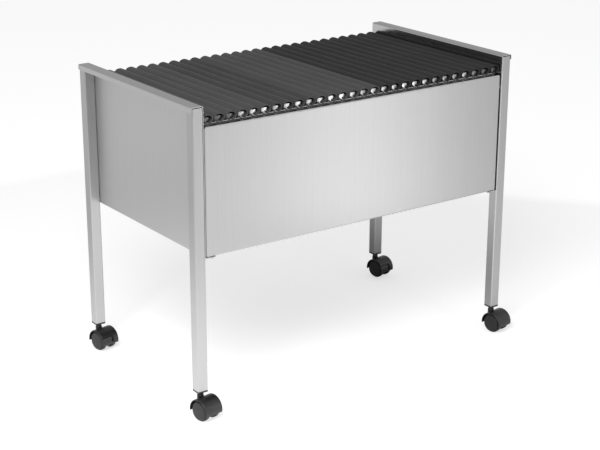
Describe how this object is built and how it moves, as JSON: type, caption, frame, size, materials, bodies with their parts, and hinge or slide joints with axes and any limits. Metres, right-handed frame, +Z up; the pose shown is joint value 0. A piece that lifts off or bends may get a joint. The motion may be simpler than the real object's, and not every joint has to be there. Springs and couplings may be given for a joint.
{
  "type": "mobile file cart",
  "caption": "Open steel file cart on swivel casters: folded side panels on square legs, and front and rear panels with rails that carry a full row of hanging files.",
  "frame": {"origin": "on the floor, under the middle of the whole outline with the casters as pictured", "axes": "+X along the row of files, -Y towards the user, +Z up"},
  "size_m": [0.7604, 0.4425, 0.584],
  "materials": {
    "panel_steel": "silver sheet with a fine upright brushing",
    "leg_steel": "silver tube, satin",
    "black_plastic": "moulded, fine grain",
    "wheel_plastic": "moulded, satin",
    "axle_steel": "drawn steel pin",
    "file_plastic": "black plastic strip and card, satin, with nickel hooks"
  },
  "bodies": {
    "frame": {"side_panel_left": "panel_steel", "side_panel_right": "panel_steel", "front_panel": "panel_steel", "rear_panel": "panel_steel", "leg_front_left": "leg_steel", "leg_plug_front_left": "black_plastic", "leg_front_right": "leg_steel", "leg_plug_front_right": "black_plastic", "leg_rear_left": "leg_steel", "leg_plug_rear_left": "black_plastic", "leg_rear_right": "leg_steel", "leg_plug_rear_right": "black_plastic"},
    "caster_front_left": {"caster_hood_front_left": "black_plastic", "caster_axle_front_left": "axle_steel"},
    "caster_wheel_front_left_left": {"caster_wheel_front_left_left": "wheel_plastic"},
    "caster_wheel_front_left_right": {"caster_wheel_front_left_right": "wheel_plastic"},
    "caster_front_right": {"caster_hood_front_right": "black_plastic", "caster_axle_front_right": "axle_steel"},
    "caster_wheel_front_right_left": {"caster_wheel_front_right_left": "wheel_plastic"},
    "caster_wheel_front_right_right": {"caster_wheel_front_right_right": "wheel_plastic"},
    "caster_rear_left": {"caster_hood_rear_left": "black_plastic", "caster_axle_rear_left": "axle_steel"},
    "caster_wheel_rear_left_left": {"caster_wheel_rear_left_left": "wheel_plastic"},
    "caster_wheel_rear_left_right": {"caster_wheel_rear_left_right": "wheel_plastic"},
    "brake_lever_rear_left": {"brake_lever_rear_left": "black_plastic"},
    "caster_rear_right": {"caster_hood_rear_right": "black_plastic", "caster_axle_rear_right": "axle_steel"},
    "caster_wheel_rear_right_left": {"caster_wheel_rear_right_left": "wheel_plastic"},
    "caster_wheel_rear_right_right": {"caster_wheel_rear_right_right": "wheel_plastic"},
    "brake_lever_rear_right": {"brake_lever_rear_right": "black_plastic"},
    "hanging_file_01": {"hanging_file_01": "file_plastic"},
    "hanging_file_02": {"hanging_file_02": "file_plastic"},
    "hanging_file_03": {"hanging_file_03": "file_plastic"},
    "hanging_file_04": {"hanging_file_04": "file_plastic"},
    "hanging_file_05": {"hanging_file_05": "file_plastic"},
    "hanging_file_06": {"hanging_file_06": "file_plastic"},
    "hanging_file_07": {"hanging_file_07": "file_plastic"},
    "hanging_file_08": {"hanging_file_08": "file_plastic"},
    "hanging_file_09": {"hanging_file_09": "file_plastic"},
    "hanging_file_10": {"hanging_file_10": "file_plastic"},
    "hanging_file_11": {"hanging_file_11": "file_plastic"},
    "hanging_file_12": {"hanging_file_12": "file_plastic"},
    "hanging_file_13": {"hanging_file_13": "file_plastic"},
    "hanging_file_14": {"hanging_file_14": "file_plastic"},
    "hanging_file_15": {"hanging_file_15": "file_plastic"},
    "hanging_file_16": {"hanging_file_16": "file_plastic"},
    "hanging_file_17": {"hanging_file_17": "file_plastic"},
    "hanging_file_18": {"hanging_file_18": "file_plastic"},
    "hanging_file_19": {"hanging_file_19": "file_plastic"},
    "hanging_file_20": {"hanging_file_20": "file_plastic"},
    "hanging_file_21": {"hanging_file_21": "file_plastic"},
    "hanging_file_22": {"hanging_file_22": "file_plastic"},
    "hanging_file_23": {"hanging_file_23": "file_plastic"},
    "hanging_file_24": {"hanging_file_24": "file_plastic"},
    "hanging_file_25": {"hanging_file_25": "file_plastic"},
    "hanging_file_26": {"hanging_file_26": "file_plastic"},
    "hanging_file_27": {"hanging_file_27": "file_plastic"},
    "hanging_file_28": {"hanging_file_28": "file_plastic"}
  },
  "joints": [
    {"name": "caster_swivel_front_left", "type": "hinge", "parent": "frame", "child": "caster_front_left", "pos_m": [-0.35911, -0.18023, 0.045], "axis": [0, 0, 1], "continuous": true},
    {"name": "caster_swivel_front_right", "type": "hinge", "parent": "frame", "child": "caster_front_right", "pos_m": [0.3539, -0.18023, 0.045], "axis": [0, 0, 1], "continuous": true},
    {"name": "caster_swivel_rear_left", "type": "hinge", "parent": "frame", "child": "caster_rear_left", "pos_m": [-0.35911, 0.20977, 0.045], "axis": [0, 0, 1], "continuous": true},
    {"name": "caster_swivel_rear_right", "type": "hinge", "parent": "frame", "child": "caster_rear_right", "pos_m": [0.3539, 0.20977, 0.045], "axis": [0, 0, 1], "continuous": true},
    {"name": "brake_release_rear_left", "type": "hinge", "parent": "caster_rear_left", "child": "brake_lever_rear_left", "pos_m": [-0.35362, 0.17868, 0.02703], "axis": [-0.9848, -0.1736, 0], "range_deg": [0, 15]},
    {"name": "brake_release_rear_right", "type": "hinge", "parent": "caster_rear_right", "child": "brake_lever_rear_right", "pos_m": [0.35938, 0.17868, 0.02703], "axis": [-0.9848, -0.1736, 0], "range_deg": [0, 15]},
    {"name": "wheel_spin_front_left_left", "type": "hinge", "parent": "caster_front_left", "child": "caster_wheel_front_left_left", "pos_m": [-0.3565, -0.195, 0.02], "axis": [0.9848, 0.1736, 0], "continuous": true},
    {"name": "wheel_spin_front_left_right", "type": "hinge", "parent": "caster_front_left", "child": "caster_wheel_front_left_right", "pos_m": [-0.3565, -0.195, 0.02], "axis": [0.9848, 0.1736, 0], "continuous": true},
    {"name": "wheel_spin_front_right_left", "type": "hinge", "parent": "caster_front_right", "child": "caster_wheel_front_right_left", "pos_m": [0.3565, -0.195, 0.02], "axis": [0.9848, 0.1736, 0], "continuous": true},
    {"name": "wheel_spin_front_right_right", "type": "hinge", "parent": "caster_front_right", "child": "caster_wheel_front_right_right", "pos_m": [0.3565, -0.195, 0.02], "axis": [0.9848, 0.1736, 0], "continuous": true},
    {"name": "wheel_spin_rear_left_left", "type": "hinge", "parent": "caster_rear_left", "child": "caster_wheel_rear_left_left", "pos_m": [-0.3565, 0.195, 0.02], "axis": [0.9848, 0.1736, 0], "continuous": true},
    {"name": "wheel_spin_rear_left_right", "type": "hinge", "parent": "caster_rear_left", "child": "caster_wheel_rear_left_right", "pos_m": [-0.3565, 0.195, 0.02], "axis": [0.9848, 0.1736, 0], "continuous": true},
    {"name": "wheel_spin_rear_right_left", "type": "hinge", "parent": "caster_rear_right", "child": "caster_wheel_rear_right_left", "pos_m": [0.3565, 0.195, 0.02], "axis": [0.9848, 0.1736, 0], "continuous": true},
    {"name": "wheel_spin_rear_right_right", "type": "hinge", "parent": "caster_rear_right", "child": "caster_wheel_rear_right_right", "pos_m": [0.3565, 0.195, 0.02], "axis": [0.9848, 0.1736, 0], "continuous": true},
    {"name": "file_lift_01", "type": "slide", "parent": "frame", "child": "hanging_file_01", "axis": [0, 0, 1], "range_m": [0, 0.27]},
    {"name": "file_lift_02", "type": "slide", "parent": "frame", "child": "hanging_file_02", "axis": [0, 0, 1], "range_m": [0, 0.27]},
    {"name": "file_lift_03", "type": "slide", "parent": "frame", "child": "hanging_file_03", "axis": [0, 0, 1], "range_m": [0, 0.27]},
    {"name": "file_lift_04", "type": "slide", "parent": "frame", "child": "hanging_file_04", "axis": [0, 0, 1], "range_m": [0, 0.27]},
    {"name": "file_lift_05", "type": "slide", "parent": "frame", "child": "hanging_file_05", "axis": [0, 0, 1], "range_m": [0, 0.27]},
    {"name": "file_lift_06", "type": "slide", "parent": "frame", "child": "hanging_file_06", "axis": [0, 0, 1], "range_m": [0, 0.27]},
    {"name": "file_lift_07", "type": "slide", "parent": "frame", "child": "hanging_file_07", "axis": [0, 0, 1], "range_m": [0, 0.27]},
    {"name": "file_lift_08", "type": "slide", "parent": "frame", "child": "hanging_file_08", "axis": [0, 0, 1], "range_m": [0, 0.27]},
    {"name": "file_lift_09", "type": "slide", "parent": "frame", "child": "hanging_file_09", "axis": [0, 0, 1], "range_m": [0, 0.27]},
    {"name": "file_lift_10", "type": "slide", "parent": "frame", "child": "hanging_file_10", "axis": [0, 0, 1], "range_m": [0, 0.27]},
    {"name": "file_lift_11", "type": "slide", "parent": "frame", "child": "hanging_file_11", "axis": [0, 0, 1], "range_m": [0, 0.27]},
    {"name": "file_lift_12", "type": "slide", "parent": "frame", "child": "hanging_file_12", "axis": [0, 0, 1], "range_m": [0, 0.27]},
    {"name": "file_lift_13", "type": "slide", "parent": "frame", "child": "hanging_file_13", "axis": [0, 0, 1], "range_m": [0, 0.27]},
    {"name": "file_lift_14", "type": "slide", "parent": "frame", "child": "hanging_file_14", "axis": [0, 0, 1], "range_m": [0, 0.27]},
    {"name": "file_lift_15", "type": "slide", "parent": "frame", "child": "hanging_file_15", "axis": [0, 0, 1], "range_m": [0, 0.27]},
    {"name": "file_lift_16", "type": "slide", "parent": "frame", "child": "hanging_file_16", "axis": [0, 0, 1], "range_m": [0, 0.27]},
    {"name": "file_lift_17", "type": "slide", "parent": "frame", "child": "hanging_file_17", "axis": [0, 0, 1], "range_m": [0, 0.27]},
    {"name": "file_lift_18", "type": "slide", "parent": "frame", "child": "hanging_file_18", "axis": [0, 0, 1], "range_m": [0, 0.27]},
    {"name": "file_lift_19", "type": "slide", "parent": "frame", "child": "hanging_file_19", "axis": [0, 0, 1], "range_m": [0, 0.27]},
    {"name": "file_lift_20", "type": "slide", "parent": "frame", "child": "hanging_file_20", "axis": [0, 0, 1], "range_m": [0, 0.27]},
    {"name": "file_lift_21", "type": "slide", "parent": "frame", "child": "hanging_file_21", "axis": [0, 0, 1], "range_m": [0, 0.27]},
    {"name": "file_lift_22", "type": "slide", "parent": "frame", "child": "hanging_file_22", "axis": [0, 0, 1], "range_m": [0, 0.27]},
    {"name": "file_lift_23", "type": "slide", "parent": "frame", "child": "hanging_file_23", "axis": [0, 0, 1], "range_m": [0, 0.27]},
    {"name": "file_lift_24", "type": "slide", "parent": "frame", "child": "hanging_file_24", "axis": [0, 0, 1], "range_m": [0, 0.27]},
    {"name": "file_lift_25", "type": "slide", "parent": "frame", "child": "hanging_file_25", "axis": [0, 0, 1], "range_m": [0, 0.27]},
    {"name": "file_lift_26", "type": "slide", "parent": "frame", "child": "hanging_file_26", "axis": [0, 0, 1], "range_m": [0, 0.27]},
    {"name": "file_lift_27", "type": "slide", "parent": "frame", "child": "hanging_file_27", "axis": [0, 0, 1], "range_m": [0, 0.27]},
    {"name": "file_lift_28", "type": "slide", "parent": "frame", "child": "hanging_file_28", "axis": [0, 0, 1], "range_m": [0, 0.27]}
  ]
}
